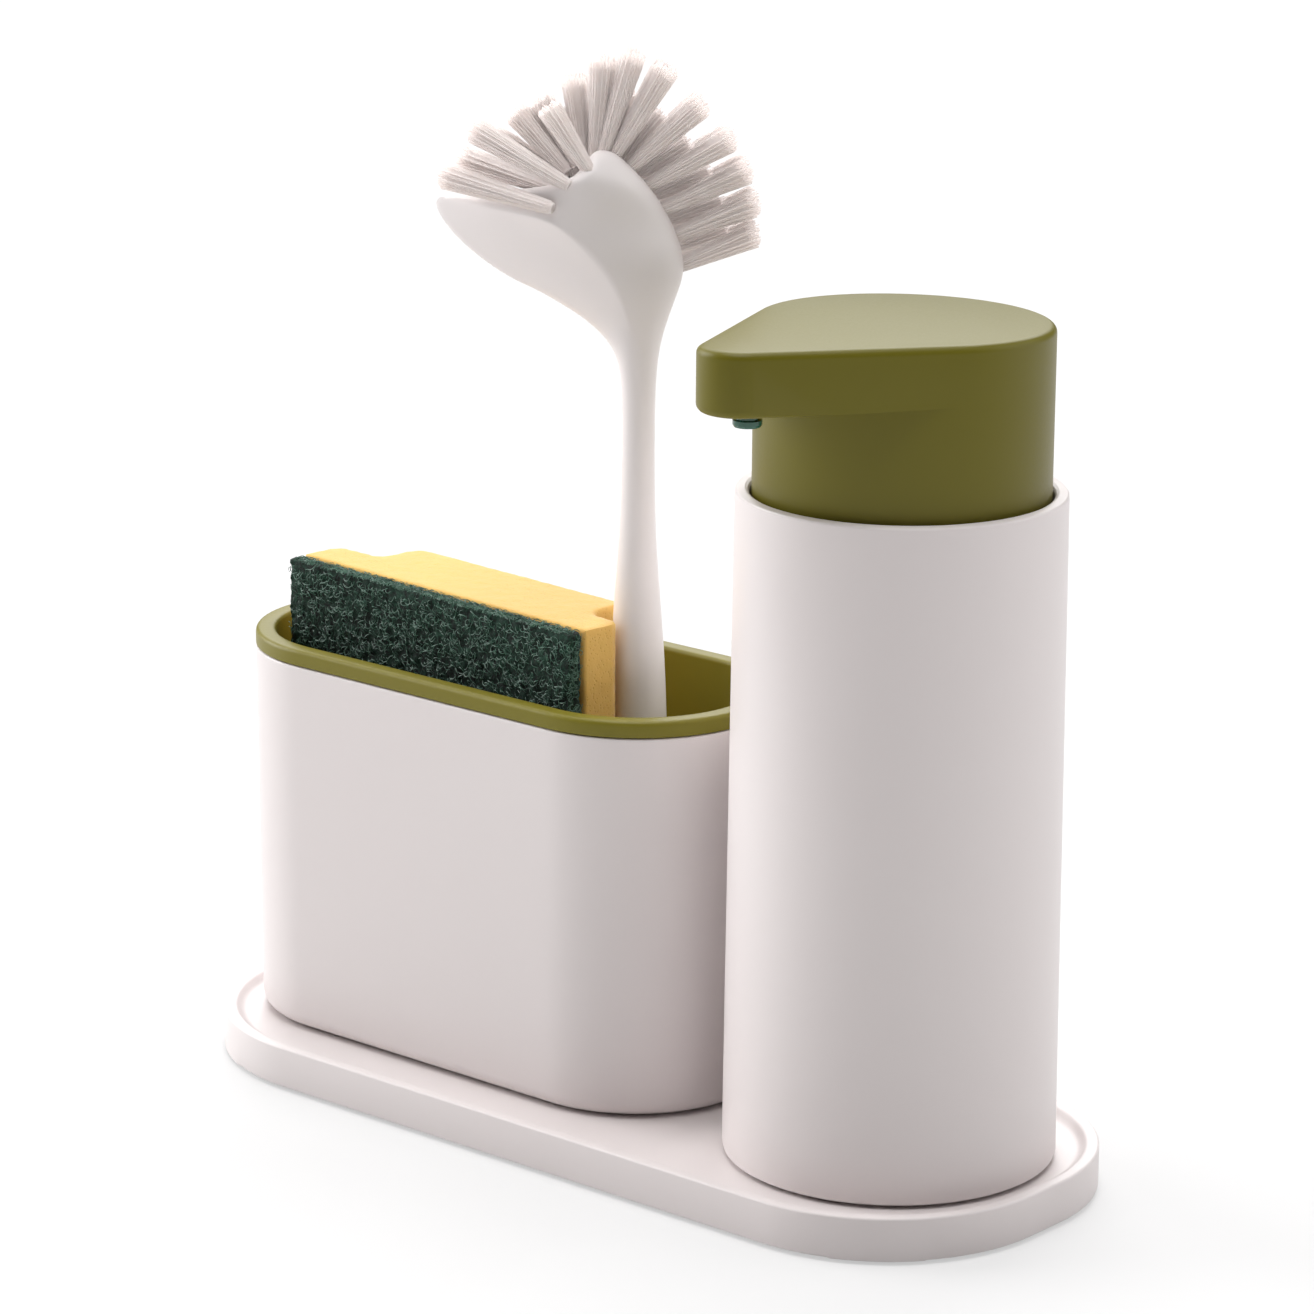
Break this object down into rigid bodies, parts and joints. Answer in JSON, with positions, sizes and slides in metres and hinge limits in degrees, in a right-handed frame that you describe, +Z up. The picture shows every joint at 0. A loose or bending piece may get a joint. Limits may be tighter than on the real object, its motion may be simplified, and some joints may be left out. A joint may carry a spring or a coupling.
{
  "type": "soap dispenser and brush caddy set",
  "caption": "Round press-head soap dispenser beside an oblong lined caddy that holds a standing dish brush and an upright sponge, all on one low rimmed tray.",
  "frame": {"origin": "under the middle of the whole set's box, on the surface that the tray's feet stand on; the spout reaches past the tray's front edge, so the tray's middle is 5.6 mm behind the origin", "axes": "+Z up, +X towards the dispenser's end of the tray, -Y towards the front, where the sponge's scouring side faces"},
  "size_m": [0.224, 0.1022, 0.239],
  "materials": {
    "white_plastic": "satin moulded plastic",
    "green_plastic": "satin moulded plastic",
    "teal_plastic": "glossy moulded plastic",
    "pump_plastic": "plain moulded plastic",
    "clear_plastic": "translucent blown plastic",
    "rubber": "matte soft rubber",
    "steel": "bright stainless steel",
    "bristle_nylon": "translucent nylon filaments",
    "yellow_foam": "open-cell cleaning foam",
    "scouring_fibre": "rough non-woven scouring fibre"
  },
  "bodies": {
    "tray": {"tray_body": "white_plastic", "tray_foot_1": "rubber", "tray_foot_2": "rubber", "tray_foot_3": "rubber", "tray_foot_4": "rubber"},
    "caddy": {"caddy_shell": "white_plastic"},
    "liner": {"caddy_liner": "green_plastic"},
    "sponge": {"sponge_foam": "yellow_foam", "sponge_scourer": "scouring_fibre"},
    "brush": {"brush_handle": "white_plastic", "brush_bristles": "bristle_nylon"},
    "dispenser": {"dispenser_casing": "white_plastic", "dispenser_base_plate": "white_plastic", "dispenser_base_ring": "rubber", "soap_bottle": "clear_plastic"},
    "pump": {"pump_housing": "pump_plastic", "neck_gasket": "rubber", "stem_guide": "pump_plastic", "dip_tube": "clear_plastic", "return_spring": "steel"},
    "collar": {"pump_collar": "pump_plastic"},
    "inlet_valve": {"inlet_ball": "steel"},
    "stem": {"pump_stem": "pump_plastic", "pump_piston": "pump_plastic"},
    "outlet_valve": {"outlet_ball": "steel"},
    "head": {"head_shell": "green_plastic", "spout_cover": "green_plastic", "outlet_channel": "pump_plastic", "nozzle_tip": "teal_plastic"}
  },
  "joints": [
    {"name": "caddy_lift", "type": "slide", "parent": "tray", "child": "caddy", "axis": [0, 0, 1], "range_m": [0, 0.006]},
    {"name": "liner_lift", "type": "slide", "parent": "caddy", "child": "liner", "axis": [0, 0, 1], "range_m": [0, 0.05]},
    {"name": "sponge_lift", "type": "slide", "parent": "liner", "child": "sponge", "axis": [0, 0, 1], "range_m": [0, 0.052]},
    {"name": "brush_lift", "type": "slide", "parent": "liner", "child": "brush", "axis": [0, 0, 1], "range_m": [0, 0.052]},
    {"name": "dispenser_lift", "type": "slide", "parent": "tray", "child": "dispenser", "axis": [0, 0, 1], "range_m": [0, 0.006]},
    {"name": "pump_unscrew", "type": "slide", "parent": "dispenser", "child": "pump", "axis": [0, 0, 1], "range_m": [0, 0.0045]},
    {"name": "collar_turn", "type": "hinge", "parent": "pump", "child": "collar", "pos_m": [0.0699, 0.00561, 0.1315], "axis": [0, 0, 1], "range_deg": [0, 540]},
    {"name": "inlet_ball_lift", "type": "slide", "parent": "pump", "child": "inlet_valve", "axis": [0, 0, 1], "range_m": [0, 0.0012]},
    {"name": "head_press", "type": "slide", "parent": "pump", "child": "stem", "axis": [0, 0, -1], "range_m": [0, 0.011], "stiffness_N_per_m": 900, "springref_m": -0.004, "deforming": ["return_spring"]},
    {"name": "outlet_ball_lift", "type": "slide", "parent": "stem", "child": "outlet_valve", "axis": [0, 0, 1], "range_m": [0, 0.003]},
    {"name": "head_swivel", "type": "hinge", "parent": "stem", "child": "head", "pos_m": [0.0699, 0.00561, 0.1765], "axis": [0, 0, 1], "continuous": true}
  ],
  "couplings": [
    {"joint": "collar_turn", "follows": "pump_unscrew", "rad_per_m": 2094.4}
  ]
}
